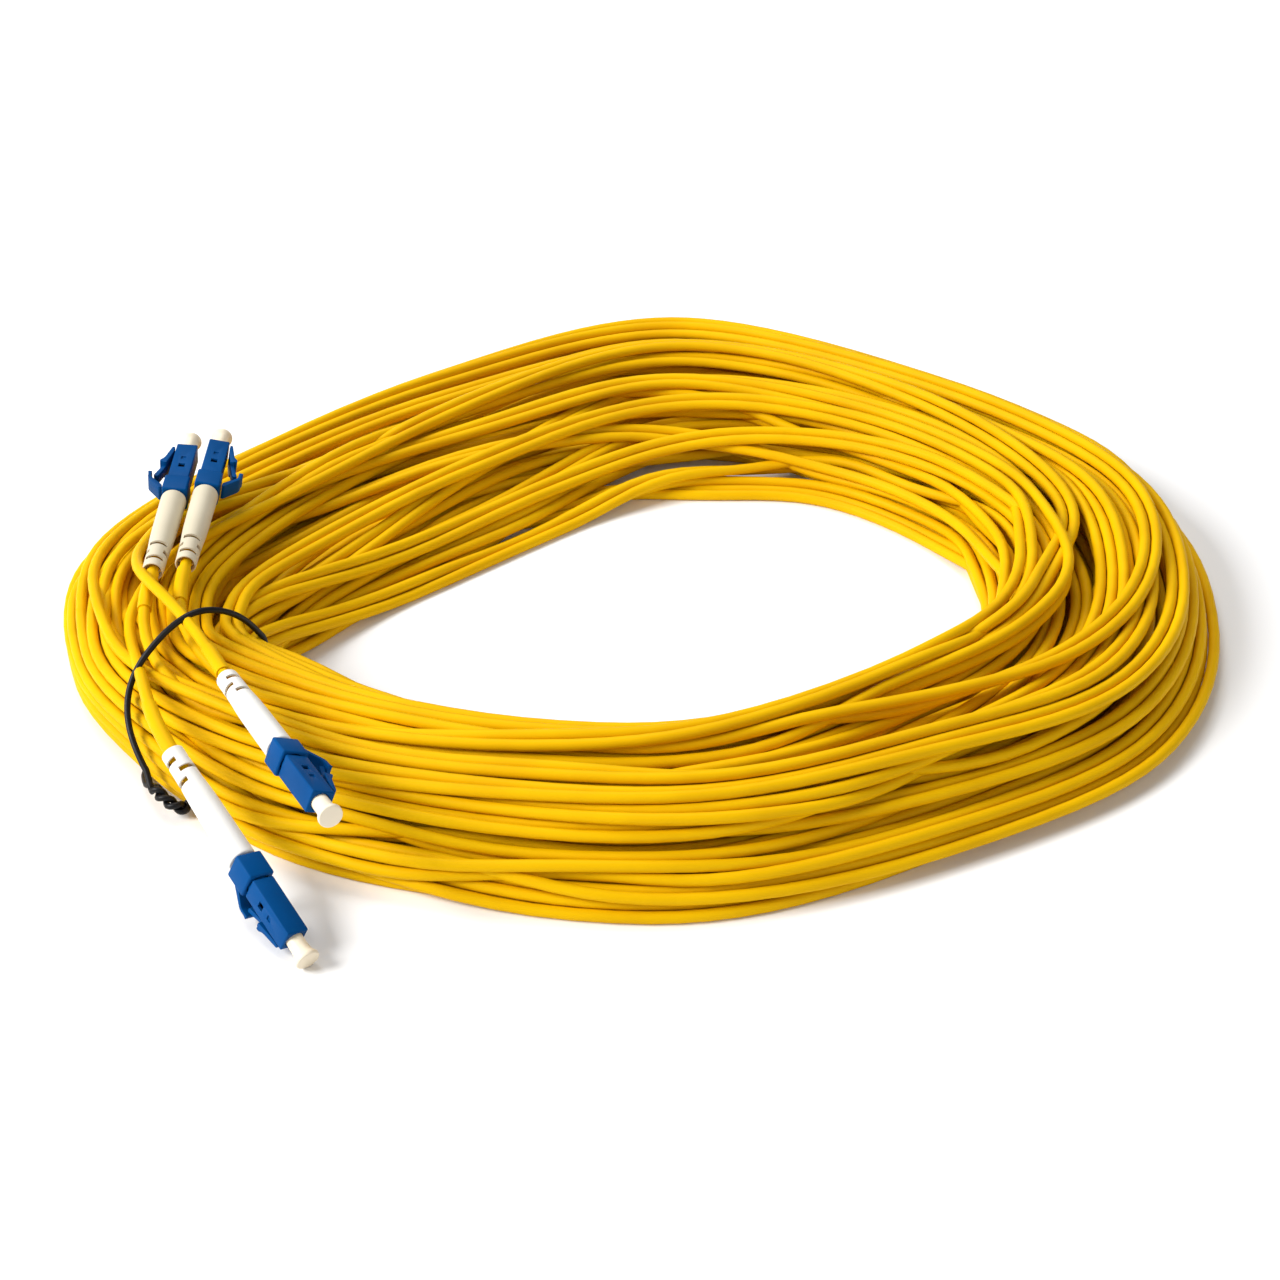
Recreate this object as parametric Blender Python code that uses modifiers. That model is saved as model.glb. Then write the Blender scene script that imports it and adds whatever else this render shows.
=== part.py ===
"""Duplex fibre optic patch cord, laid down as a tied coil with four LC plugs.

The two jackets of the duplex cord are wound into one oval coil, which lies flat on the floor and is
held together by a twist tie. Four jacket ends (legs) leave the coil beside the tie, and each one ends
in an LC plug: boot, crimp sleeve, back post, buffered fibre, spring, ferrule with its flange, rear
body, front housing, latch, trigger and dust cap.

Each plug is modelled in its own frame: +X runs from the boot's tail out of the plug's nose, +Z is the
latch side and the zero is the middle of the boot's tail. All lengths are in millimetres and are
multiplied by MM where they enter the scene, which is in metres with +Z up.
"""

import math

import bmesh
import bpy
import numpy as np
from mathutils import Euler, Matrix, Vector

MM = 0.001

# Where the middle of the four plugs lies in the coil's own frame (mm)
PLUGS_MIDDLE = (-79.786, -16.875)

# Cord
JACKET_D = 3.0
JACKET_SIDES_RESOLUTION = 2
LEG_POINT_STEP = 7.0
LEG_END_IN_BOOT = 18.1

# Coil: sections through the wound bundle, in turn round the coil from its left side (mm). Each holds
# where its inside and its outside lie, its height, how far its top leans to the inside (1 is upright)
# and how far its underside is off the floor, as it is where the tie passes under it.
COIL_SECTIONS = (
    ((-70, 9), (-123, 25), 18.0, 1.5, 0.0),
    ((-76, 0), (-116, -8), 19.0, 1.6, 1.6),
    ((-78, -5), (-101, -31), 20.0, 1.3, 2.4),
    ((-52, -32), (-70, -62), 21.5, 1.7, 0.0),
    ((-20, -43), (-28, -77), 22.5, 1.9, 0.0),
    ((12, -42), (16, -80), 22.5, 1.9, 0.0),
    ((45, -26), (58, -62), 20.5, 1.7, 0.0),
    ((68, -3), (100, -32), 19.0, 1.5, 0.0),
    ((74, 24), (123, 14), 17.0, 1.2, 0.0),
    ((66, 54), (118, 62), 16.0, 1.1, 0.0),
    ((38, 75), (76, 110), 14.0, 1.0, 0.0),
    ((5, 72), (10, 147), 13.0, 1.0, 0.0),
    ((-30, 49), (-52, 122), 14.0, 1.0, 0.0),
    ((-57, 26), (-98, 78), 16.0, 1.2, 0.0),
)
STEPS_PER_SECTION = 4
COIL_ACROSS = 14
SECTION_SQUARENESS = 0.85
UNDERSIDE_FLAT = 0.12

# Twist tie
TIE_WIRE_D = 1.2
TIE_POINT_STEP = 3.0

# Boot
BOOT_LENGTH = 27.2
BOOT_TAIL_R = 2.2
BOOT_GRIP_R = 2.75
BOOT_COLLAR_R = 2.0
BOOT_COLLAR_END = 28.6
SLOT_STATIONS = (2.6, 5.1, 7.6)
SLOT_WIDTH = 1.0
SLOT_SPAN = 2.3

# Housing
REAR_BODY_SIDE = 5.4
REAR_BODY_SPAN = (27.5, 33.0)
REAR_BODY_BORE_R = 2.35
FRONT_SIDE = 4.5
FRONT_SPAN = (33.3, 46.3)
FRONT_BORE_R = 1.8
FRONT_STOP_R = 1.45
FRONT_STOP_SPAN = (38.9, 40.5)
SPIGOT_R = 2.05
SPIGOT_START = 31.0
WINDOW_SPAN = (37.0, 38.4)
WINDOW_HEIGHT = 1.4
DIMPLE_AT = 40.7
DIMPLE_R = 0.55
DIMPLE_DEPTH = 0.25

# Latch and trigger
LATCH_PIVOT = (44.3, 2.9)
LATCH_WIDTH = 4.1
LATCH_ARM_WIDTH = 2.2
LATCH_LUG_REAR = 38.7
TRIGGER_PIVOT = (29.8, 3.2)
TRIGGER_WIDTH = 3.4

# Inner pieces
FIBRE_R = 0.45
FERRULE_R = 0.625
SPRING_R = 1.4
SPRING_WIRE_R = 0.17
SPRING_SPAN = (31.1, 36.5)
SPRING_TURNS = 4.5
SPRING_POINTS_PER_TURN = 10

TURN_STEPS = 20
FINE_STEPS = 14

# Each plug: middle of its boot's tail (mm), then its roll, pitch and yaw (degrees)
PLUGS = {
    "a": ((-100.6, 6.1, 22.9), (-85.0, 2.8, 89.4)),
    "b": ((-94.0, 7.9, 23.5), (102.0, 2.1, 89.4)),
    "c": ((-78.9, -37.0, 25.6), (-115.0, 1.6, -61.3)),
    "d": ((-87.6, -52.7, 19.6), (165.0, -19.9, -53.7)),
}

# Each leg: where its jacket runs between the boot's tail and the coil (mm)
LEG_ROUTES = {
    "a": ((-101.2, -1.5, 22.6), (-101.0, -8.0, 22.4)),
    "b": ((-94.2, 0.5, 23.2), (-93.8, -6.5, 23.6)),
    "c": (
        (-83.6, -28.6, 25.4),
        (-86.4, -23.0, 25.4),
        (-89.4, -17.0, 25.9),
        (-93.2, -11.0, 27.0),
        (-98.0, -4.0, 27.4),
        (-103.2, 3.2, 26.0),
        (-106.8, 9.6, 23.2),
        (-107.6, 15.0, 21.4),
    ),
    "d": ((-91.6, -46.6, 22.4), (-94.6, -41.0, 23.0), (-96.6, -35.6, 23.0)),
}

# The tie: once round the bundle and the legs, from one end of its knot to the other (mm)
TIE_ROUTE = (
    (-93.4, -51.6, 2.8),
    (-97.4, -47.2, 3.4),
    (-101.0, -42.2, 5.2),
    (-103.0, -36.8, 8.0),
    (-102.1, -32.1, 12.6),
    (-99.0, -28.6, 17.6),
    (-96.3, -25.6, 21.0),
    (-92.4, -21.2, 25.6),
    (-89.2, -17.6, 28.4),
    (-86.0, -14.0, 26.4),
    (-83.4, -11.1, 23.6),
    (-81.0, -8.4, 20.6),
    (-78.9, -6.1, 17.6),
    (-76.9, -3.9, 14.0),
    (-76.5, -3.4, 9.4),
    (-76.7, -3.7, 4.2),
    (-79.2, -6.4, 1.2),
    (-85.8, -13.9, 1.1),
    (-92.2, -21.0, 1.1),
    (-98.8, -28.5, 1.2),
    (-102.8, -35.0, 1.3),
    (-101.8, -41.6, 1.0),
    (-98.0, -47.7, 0.9),
    (-93.0, -52.4, 0.9),
)

for old in list(bpy.data.objects):
    bpy.data.objects.remove(old, do_unlink=True)

scene = bpy.context.scene
pieces = scene.collection
cutters = bpy.data.collections.new("cutters")
scene.collection.children.link(cutters)


def new_material(name, colour, roughness, metallic=0.0):
    material = bpy.data.materials.new(name)
    material.use_nodes = True
    shader = material.node_tree.nodes["Principled BSDF"]
    shader.inputs["Base Color"].default_value = (*colour, 1.0)
    shader.inputs["Roughness"].default_value = roughness
    shader.inputs["Metallic"].default_value = metallic
    return material


JACKET_YELLOW = new_material("jacket_yellow", (0.90, 0.60, 0.01), 0.45)
BOOT_WHITE = new_material("boot_white", (0.86, 0.86, 0.84), 0.5)
HOUSING_BLUE = new_material("housing_blue", (0.02, 0.12, 0.55), 0.35)
CAP_IVORY = new_material("cap_ivory", (0.82, 0.76, 0.62), 0.4)
TIE_BLACK = new_material("tie_black", (0.02, 0.02, 0.02), 0.6)
STEEL = new_material("steel", (0.62, 0.62, 0.64), 0.3, 1.0)
NICKEL = new_material("nickel", (0.70, 0.68, 0.62), 0.3, 1.0)
ZIRCONIA = new_material("zirconia", (0.92, 0.92, 0.90), 0.15)
BUFFER_WHITE = new_material("buffer_white", (0.80, 0.82, 0.85), 0.4)


def add_object(name, mesh, parent, material=None):
    """A new piece, or a cutter if it has no material."""
    obj = bpy.data.objects.new(name, mesh)
    obj.parent = parent
    if material:
        pieces.objects.link(obj)
        obj.data.materials.append(material)
    else:
        cutters.objects.link(obj)
        obj.hide_render = True
        obj.display_type = "WIRE"
    return obj


def turned(name, profile, parent, material=None, steps=TURN_STEPS, at=0.0):
    """A body turned about the plug's axis. The profile holds (place along the axis, radius) and runs
    from the nose end down its outer side, and back up the bore if there is one."""
    points = [(radius * MM, 0.0, (along - at) * MM) for along, radius in profile]
    edges = [(i, i + 1) for i in range(len(points) - 1)]
    if profile[0][1] > 0:
        edges.append((len(points) - 1, 0))
    mesh = bpy.data.meshes.new(name)
    mesh.from_pydata(points, edges, [])
    obj = add_object(name, mesh, parent, material)
    obj.location = (at * MM, 0.0, 0.0)
    obj.rotation_euler = (0.0, math.radians(90.0), 0.0)
    screw = obj.modifiers.new("turn", "SCREW")
    screw.steps = steps
    screw.render_steps = steps
    screw.use_merge_vertices = True
    screw.merge_threshold = 1e-6
    screw.use_smooth_shade = True
    return obj


def block(name, boxes, parent, material=None, bevel=0.0):
    """Boxes in one mesh, each given as (x range, y range, z range) in mm."""
    bm = bmesh.new()
    for ranges in boxes:
        low = Vector([span[0] for span in ranges]) * MM
        high = Vector([span[1] for span in ranges]) * MM
        size = Matrix.Diagonal((*(high - low), 1.0))
        bmesh.ops.create_cube(bm, size=1.0, matrix=Matrix.Translation((low + high) / 2) @ size)
    mesh = bpy.data.meshes.new(name)
    bm.to_mesh(mesh)
    bm.free()
    obj = add_object(name, mesh, parent, material)
    if bevel:
        soften(obj, bevel, 2)
    return obj


def soften(obj, width, segments):
    bevel = obj.modifiers.new("edges", "BEVEL")
    bevel.width = width * MM
    bevel.segments = segments
    bevel.limit_method = "ANGLE"


def boolean(obj, other, operation="DIFFERENCE"):
    modifier = obj.modifiers.new(operation.lower(), "BOOLEAN")
    modifier.operation = operation
    modifier.solver = "EXACT"
    modifier.object = other


def outline_piece(name, outline, width, pivot, parent, material):
    """A flat-sided piece cut to an (x, z) outline, as wide as given across Y, with its origin on the
    pivot."""
    curve = bpy.data.curves.new(name + "_outline", "CURVE")
    curve.dimensions = "2D"
    curve.fill_mode = "BOTH"
    curve.extrude = width / 2 * MM
    spline = curve.splines.new("POLY")
    spline.points.add(len(outline) - 1)
    for point, (x, z) in zip(spline.points, outline):
        point.co = ((x - pivot[0]) * MM, (z - pivot[1]) * MM, 0.0, 1.0)
    spline.use_cyclic_u = True
    helper = bpy.data.objects.new(name + "_outline", curve)
    cutters.objects.link(helper)
    mesh = bpy.data.meshes.new_from_object(helper)
    bpy.data.objects.remove(helper)
    bm = bmesh.new()
    bm.from_mesh(mesh)
    bmesh.ops.remove_doubles(bm, verts=bm.verts, dist=0.001 * MM)
    bmesh.ops.rotate(bm, verts=bm.verts, matrix=Matrix.Rotation(math.radians(90.0), 3, "X"))
    bmesh.ops.recalc_face_normals(bm, faces=bm.faces)
    bm.to_mesh(mesh)
    bm.free()
    obj = add_object(name, mesh, parent, material)
    obj.location = (pivot[0] * MM, 0.0, pivot[1] * MM)
    return obj


def tube(name, points, diameter, parent, material, resolution):
    """A round cord or wire along the given points (mm)."""
    curve = bpy.data.curves.new(name, "CURVE")
    curve.dimensions = "3D"
    curve.bevel_depth = diameter / 2 * MM
    curve.bevel_resolution = resolution
    curve.use_fill_caps = True
    spline = curve.splines.new("POLY")
    spline.points.add(len(points) - 1)
    for point, place in zip(spline.points, points):
        point.co = (*(Vector(place) * MM), 1.0)
    spline.use_smooth = True
    return add_object(name, curve, parent, material)


def smooth_route(stations, step):
    """Points about one step apart on the smooth curve through the stations (mm)."""
    stations = [Vector(station) for station in stations]
    padded = [2 * stations[0] - stations[1], *stations, 2 * stations[-1] - stations[-2]]
    route = [stations[0]]
    for before, start, end, after in zip(padded, padded[1:], padded[2:], padded[3:]):
        pieces_here = max(1, round((end - start).length / step))
        for i in range(1, pieces_here + 1):
            t = i / pieces_here
            bend = (2 * before - 5 * start + 4 * end - after) * t + (3 * (start - end) + after - before) * t * t
            route.append(start + ((end - before) + bend) * t / 2)
    return route


def coil_shape(around, across, up):
    """Where a point of the bundle's skin is (mm), for its place round the coil, counted in sections,
    and its place in the section, which runs from -1 (inside, underside) to 1 (outside, top)."""
    sections = np.array([(*inside, *outside, *rest) for inside, outside, *rest in COIL_SECTIONS])
    nearest = np.floor(around + 1e-6).astype(int)
    before, start, end, after = (sections[(nearest + i) % len(sections)] for i in (-1, 0, 1, 2))
    t = (around - nearest)[:, None]
    bend = (2 * before - 5 * start + 4 * end - after) * t + (3 * (start - end) + after - before) * t * t
    inner_x, inner_y, outer_x, outer_y, height, lean, lift = (start + ((end - before) + bend) * t / 2).T
    across = np.sign(across) * np.abs(across) ** SECTION_SQUARENESS
    up = np.sign(up) * np.abs(up) ** SECTION_SQUARENESS
    out = np.clip((1 + across) / 2, 0.0, 1.0) ** lean
    z = (1 + UNDERSIDE_FLAT) * height * (1 + up) / 2 - UNDERSIDE_FLAT * height
    x = inner_x + (outer_x - inner_x) * out
    y = inner_y + (outer_y - inner_y) * out
    return np.column_stack([x, y, np.maximum(z, np.maximum(lift, 0.0))])


# Everything lies about the middle of the four plugs
layout = bpy.data.objects.new("layout", None)
pieces.objects.link(layout)
layout.location = (-PLUGS_MIDDLE[0] * MM, -PLUGS_MIDDLE[1] * MM, 0.0)

# The coil: the skin of the whole bundle, a ring reshaped to the ovals
RING_SECTION = 0.25
bpy.ops.mesh.primitive_torus_add(
    major_segments=STEPS_PER_SECTION * len(COIL_SECTIONS),
    minor_segments=COIL_ACROSS,
    major_radius=1.0,
    minor_radius=RING_SECTION,
)
coil = bpy.context.object
coil.name = "coil"
coil.data.name = "coil"
coil.parent = layout
corners = np.empty(len(coil.data.vertices) * 3)
coil.data.vertices.foreach_get("co", corners)
corners = corners.reshape(-1, 3)
ring_across = (np.hypot(corners[:, 0], corners[:, 1]) - 1.0) / RING_SECTION
ring_turn = np.arctan2(corners[:, 1], corners[:, 0]) % (2 * math.pi) / (2 * math.pi)
skin = coil_shape(ring_turn * len(COIL_SECTIONS), ring_across, corners[:, 2] / RING_SECTION)
coil.data.vertices.foreach_set("co", (skin * MM).ravel())
coil.data.update()
coil.data.materials.clear()
coil.data.materials.append(JACKET_YELLOW)
coil.data.polygons.foreach_set("use_smooth", [True] * len(coil.data.polygons))

tube("twist_tie", smooth_route(TIE_ROUTE, TIE_POINT_STEP), TIE_WIRE_D, layout, TIE_BLACK, 0)


def build_plug(key, tail, turn):
    """One LC plug with its jacket end, laid down at the given place."""
    roll, pitch, yaw = (math.radians(angle) for angle in turn)
    frame = bpy.data.objects.new("plug_" + key, None)
    pieces.objects.link(frame)
    frame.parent = layout
    frame.location = Vector(tail) * MM
    frame.rotation_euler = (roll, -pitch, yaw)

    def named(piece):
        return piece + "_" + key

    # Leg: straight inside the boot, then along its own route to the coil
    facing = Euler(frame.rotation_euler).to_matrix()
    inside = [Vector(tail) + facing @ Vector((x, 0.0, 0.0)) for x in (LEG_END_IN_BOOT, 9.0, 0.0, -2.0)]
    bent = smooth_route([inside[2], inside[3], *LEG_ROUTES[key]], LEG_POINT_STEP)
    tube(
        named("leg"), inside[:2] + bent, JACKET_D, layout, JACKET_YELLOW, JACKET_SIDES_RESOLUTION
    )

    # Boot: a moulded sleeve with staggered slots through its flexible tail
    boot = turned(
        named("boot"),
        (
            (BOOT_COLLAR_END, BOOT_COLLAR_R),
            (BOOT_LENGTH, BOOT_COLLAR_R),
            (BOOT_LENGTH, 2.5),
            (26.4, BOOT_GRIP_R),
            (12.0, 2.6),
            (7.5, 2.3),
            (0.3, BOOT_TAIL_R),
            (0.0, 2.1),
            (0.0, 1.85),
            (13.7, 1.85),
            (13.7, 2.35),
            (24.7, 2.35),
            (24.7, 1.6),
            (BOOT_COLLAR_END, 1.6),
        ),
        frame,
        BOOT_WHITE,
    )
    half = SLOT_WIDTH / 2
    slots = []
    for row, station in enumerate(SLOT_STATIONS):
        along = (station - half, station + half)
        wide = (-4.0, 4.0)
        narrow = (-SLOT_SPAN / 2, SLOT_SPAN / 2)
        slots.append((along, wide, narrow) if row % 2 == 0 else (along, narrow, wide))
    boolean(boot, block(named("boot_slots"), slots, frame))

    # Crimp sleeve: holds the jacket and its strength yarn on the back post
    turned(
        named("crimp_sleeve"),
        (
            (24.4, 1.95),
            (18.4, 1.95),
            (18.0, 2.05),
            (14.0, 2.05),
            (14.0, 1.8),
            (18.4, 1.8),
            (18.4, 1.6),
            (24.4, 1.6),
        ),
        frame,
        STEEL,
        FINE_STEPS,
    )
    turned(
        named("back_post"),
        ((30.6, 2.0), (28.9, 2.0), (28.9, 1.3), (18.8, 1.3), (18.8, 0.75), (30.6, 0.75)),
        frame,
        NICKEL,
        FINE_STEPS,
    )

    # Ferrule group: slides back against the spring
    ferrule_seat = 39.8
    turned(
        named("buffered_fibre"),
        ((35.6, 0.0), (35.6, FIBRE_R), (19.6, FIBRE_R), (19.6, 0.0)),
        frame,
        BUFFER_WHITE,
        FINE_STEPS,
    )
    turned(
        named("ferrule_flange"),
        (
            (41.0, 1.15),
            (38.6, 1.15),
            (38.6, 1.5),
            (37.0, 1.5),
            (37.0, 0.92),
            (35.9, 0.92),
            (35.9, 0.0),
            (39.5, 0.0),
            (39.5, 0.78),
            (41.0, 0.78),
        ),
        frame,
        NICKEL,
        FINE_STEPS,
    )
    turned(
        named("ferrule"),
        ((47.6, 0.0), (47.6, 0.42), (47.3, FERRULE_R), (ferrule_seat, FERRULE_R), (ferrule_seat, 0.0)),
        frame,
        ZIRCONIA,
        FINE_STEPS,
    )
    coil_points = []
    steps = round(SPRING_TURNS * SPRING_POINTS_PER_TURN)
    for i in range(steps + 1):
        angle = 2 * math.pi * i / SPRING_POINTS_PER_TURN
        along = SPRING_SPAN[0] + (SPRING_SPAN[1] - SPRING_SPAN[0]) * i / steps
        coil_points.append((along, SPRING_R * math.cos(angle), SPRING_R * math.sin(angle)))
    tube(named("spring"), coil_points, 2 * SPRING_WIRE_R, frame, STEEL, 0)

    # Rear body: takes the boot's collar behind and the front housing's spigot before
    rear_half = REAR_BODY_SIDE / 2
    across = (-rear_half, rear_half)
    rear = block(named("rear_body"), [(REAR_BODY_SPAN, across, across)], frame, HOUSING_BLUE, 0.4)
    rear_bore = ((34.0, 0.0), (34.0, REAR_BODY_BORE_R), (26.5, REAR_BODY_BORE_R), (26.5, 0.0))
    boolean(rear, turned(named("rear_bore"), rear_bore, frame))

    # Front housing: square nose, spigot behind, bore with the ferrule's stop, side windows
    front_half = FRONT_SIDE / 2
    across = (-front_half, front_half)
    front = block(named("front_housing"), [(FRONT_SPAN, across, across)], frame, HOUSING_BLUE, 0.25)
    spigot = ((35.0, 0.0), (35.0, SPIGOT_R), (SPIGOT_START, SPIGOT_R), (SPIGOT_START, 0.0))
    boolean(front, turned(named("front_spigot"), spigot, frame), "UNION")
    bore = (
        (47.0, 0.0),
        (47.0, FRONT_BORE_R),
        (FRONT_STOP_SPAN[1], FRONT_BORE_R),
        (FRONT_STOP_SPAN[1], FRONT_STOP_R),
        (FRONT_STOP_SPAN[0], FRONT_STOP_R),
        (FRONT_STOP_SPAN[0], FRONT_BORE_R),
        (30.0, FRONT_BORE_R),
        (30.0, 0.0),
    )
    boolean(front, turned(named("front_bore"), bore, frame))
    window = (WINDOW_SPAN, (-3.0, 3.0), (-WINDOW_HEIGHT / 2, WINDOW_HEIGHT / 2))
    dimple_span = (DIMPLE_AT - DIMPLE_R, DIMPLE_AT + DIMPLE_R)
    dimple_rise = (-DIMPLE_R, DIMPLE_R)
    dimple_floor = front_half - DIMPLE_DEPTH
    left_dimple = (dimple_span, (dimple_floor, 3.0), dimple_rise)
    right_dimple = (dimple_span, (-3.0, -dimple_floor), dimple_rise)
    boolean(front, block(named("side_openings"), [window, left_dimple, right_dimple], frame))

    # Latch: sprung blade rooted at the nose, with two shoulders and a narrower arm behind them
    latch = outline_piece(
        named("latch"),
        (
            (45.0, 2.55),
            (45.0, 3.1),
            (40.6, 4.1),
            (39.6, 4.9),
            (38.9, 4.9),
            (38.9, 4.2),
            (34.5, 5.6),
            (34.4, 4.6),
            (39.5, 3.3),
            (43.4, 2.55),
        ),
        LATCH_WIDTH,
        LATCH_PIVOT,
        frame,
        HOUSING_BLUE,
    )
    arm_sides = []
    for sign in (-1, 1):
        edges = sorted((sign * LATCH_ARM_WIDTH / 2, sign * LATCH_WIDTH))
        arm_sides.append(((33.0, LATCH_LUG_REAR), edges, (2.0, 7.0)))
    boolean(latch, block(named("latch_sides"), arm_sides, frame))

    # Trigger: sprung arm on the rear body, whose hook presses the latch's tip
    outline_piece(
        named("trigger"),
        (
            (29.2, 3.0),
            (30.2, 3.0),
            (31.6, 4.3),
            (33.3, 5.95),
            (35.3, 5.95),
            (35.3, 6.9),
            (34.7, 6.6),
            (33.0, 6.6),
            (31.0, 5.0),
            (29.2, 3.6),
        ),
        TRIGGER_WIDTH,
        TRIGGER_PIVOT,
        frame,
        HOUSING_BLUE,
    )

    # Dust cap: a closed plug pushed over the ferrule into the nose
    turned(
        named("dust_cap"),
        (
            (51.3, 0.0),
            (51.3, 2.2),
            (51.1, 2.35),
            (50.6, 2.35),
            (49.8, 1.85),
            (48.6, 1.65),
            (42.0, 1.65),
            (42.0, 0.95),
            (48.2, 0.95),
            (48.2, 0.0),
        ),
        frame,
        CAP_IVORY,
    )


for plug_key, (plug_tail, plug_turn) in PLUGS.items():
    build_plug(plug_key, plug_tail, plug_turn)
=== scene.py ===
"""Looks of the duplex fibre optic patch cord: every turn of its two jackets, its tie and its four plugs.

Lengths are in millimetres until MM turns them into the scene's metres. Places on the coil are in the
coil's own frame, as in the CAD model, and to_scene moves them to the frame that everything shares.
"""

import math

import bmesh
import bpy
import numpy as np
from mathutils import Euler, Matrix, Vector


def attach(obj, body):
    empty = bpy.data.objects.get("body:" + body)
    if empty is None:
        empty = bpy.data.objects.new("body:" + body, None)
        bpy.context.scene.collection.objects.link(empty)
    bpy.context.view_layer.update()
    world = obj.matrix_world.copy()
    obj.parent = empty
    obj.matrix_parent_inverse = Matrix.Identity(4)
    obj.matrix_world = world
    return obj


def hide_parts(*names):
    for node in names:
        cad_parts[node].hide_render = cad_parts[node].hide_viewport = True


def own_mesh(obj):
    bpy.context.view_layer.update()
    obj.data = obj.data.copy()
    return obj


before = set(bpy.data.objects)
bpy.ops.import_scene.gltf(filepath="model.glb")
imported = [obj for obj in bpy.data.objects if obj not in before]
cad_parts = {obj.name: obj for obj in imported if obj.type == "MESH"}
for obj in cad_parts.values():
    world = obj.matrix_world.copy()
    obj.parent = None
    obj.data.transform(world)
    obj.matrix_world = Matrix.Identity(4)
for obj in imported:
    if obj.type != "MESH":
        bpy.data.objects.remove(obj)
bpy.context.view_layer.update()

MM = 0.001
MAIN_BODY = "cord_and_housings"
KEYS = "abcd"

# Where the middle of the four plugs lies in the coil's own frame (mm)
PLUGS_MIDDLE = (-79.786, -16.875)

# Each plug: middle of its boot's tail (mm), then its roll, pitch and yaw (degrees)
PLUGS = {
    "a": ((-100.6, 6.1, 22.9), (-85.0, 2.8, 89.4)),
    "b": ((-94.0, 7.9, 23.5), (102.0, 2.1, 89.4)),
    "c": ((-78.9, -37.0, 25.6), (-115.0, 1.6, -61.3)),
    "d": ((-87.6, -52.7, 19.6), (165.0, -19.9, -53.7)),
}

# Cord: the jacket itself, and the sleeve over its last stretch at each plug
JACKET_D = 2.4
JACKET_R = JACKET_D / 2
JACKET_END_IN_BOOT = 18.1
PAIR_DISTANCE = 2.5
MOST_POINTS = 3900
SLEEVE_D = 3.0
SLEEVE_LENGTHS = {"a": 15.0, "b": 14.0, "c": 17.0, "d": 17.0}
SLEEVE_START_IN_BOOT = 12.1

# Coil: sections through the wound bundle, in turn round the coil from its left side (mm). Each holds
# where its inside and its outside lie, its height, how far its top leans to the inside (1 is upright)
# and how far its underside is off the floor, as it is where the tie passes under it.
COIL_SECTIONS = (
    ((-70, 9), (-123, 36), 18.5, 1.5, 0.0),
    ((-76, -1), (-118, -3), 19.0, 1.6, 1.3),
    ((-78, -5), (-101, -31), 20.0, 1.3, 1.4),
    ((-48, -25), (-70, -61), 22.5, 1.7, 0.0),
    ((-18, -37), (-28, -76), 24.5, 1.9, 0.0),
    ((12, -38), (16, -79), 25.0, 1.9, 0.0),
    ((44, -22), (60, -63), 24.0, 1.7, 0.0),
    ((67, 0), (104, -34), 22.5, 1.5, 0.0),
    ((74, 26), (125, 12), 20.5, 1.2, 0.0),
    ((65, 52), (122, 66), 19.0, 1.1, 0.0),
    ((37, 73), (79, 115), 18.5, 1.0, 0.0),
    ((4, 65), (10, 155), 21.5, 1.0, 0.0),
    ((-28, 44), (-53, 125), 17.5, 1.0, 0.0),
    ((-56, 23), (-98, 78), 18.0, 1.2, 0.0),
)

# How square the bundle's upper edges are at each section: the inner and the outer one
INNER_FULLNESS = (2.8, 3.0, 3.0, 5.0, 6.0, 6.0, 6.0, 5.0, 3.4, 2.2, 1.7, 1.6, 1.7, 2.2)
OUTER_FULLNESS = (5.0, 5.0, 4.0, 2.4, 2.0, 2.0, 2.4, 3.5, 5.0, 6.0, 6.0, 6.0, 6.0, 5.0)

# Each leg: where its jacket runs between the boot's tail and the coil's turns (mm)
LEG_ROUTES = {
    "a": (
        (-100.9, -1.5, 21.9),
        (-100.3, -8.5, 20.9),
        (-98.6, -15.5, 19.6),
        (-95.2, -22.0, 18.0),
        (-90.5, -27.8, 16.6),
        (-85.0, -33.4, 15.6),
    ),
    "b": (
        (-93.9, 0.4, 23.1),
        (-93.2, -6.5, 22.6),
        (-91.2, -13.2, 21.6),
        (-87.8, -19.3, 20.4),
        (-83.4, -24.9, 19.2),
        (-78.0, -30.2, 18.4),
    ),
    "c": (
        (-85.0, -24.6, 25.3),
        (-89.5, -17.0, 25.7),
        (-95.1, -8.4, 25.7),
        (-100.6, 0.6, 24.4),
        (-104.4, 9.2, 22.0),
        (-106.2, 18.0, 19.8),
        (-105.8, 27.0, 17.9),
        (-104.2, 36.0, 16.4),
    ),
    "d": (
        (-91.2, -46.4, 20.8),
        (-94.0, -39.5, 21.3),
        (-96.2, -32.3, 20.4),
        (-98.4, -24.6, 18.8),
        (-101.0, -16.8, 17.4),
        (-103.4, -8.6, 16.4),
        (-105.2, 0.2, 15.8),
    ),
}

# Which legs each jacket joins, from its first turn to its last, and the number of whole turns
JACKETS = (("a", "c"), ("b", "d"))
TURNS = 42

# Stations: equal steps round the coil. Places across the coil are worked out at each of them.
STATIONS = 96
STEPS_PER_SECTION = 60
PROFILE_STEPS = 61
FIRST_STATION = 3
LAST_STATIONS = (6, 5)


def catmull_rom(before, start, end, after, t):
    bend = (2 * before - 5 * start + 4 * end - after) * t + (3 * (start - end) + after - before) * t * t
    return start + ((end - before) + bend) * t / 2


def lengths_along(points):
    return np.concatenate([[0.0], np.cumsum(np.linalg.norm(np.diff(points, axis=0), axis=1))])


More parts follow.
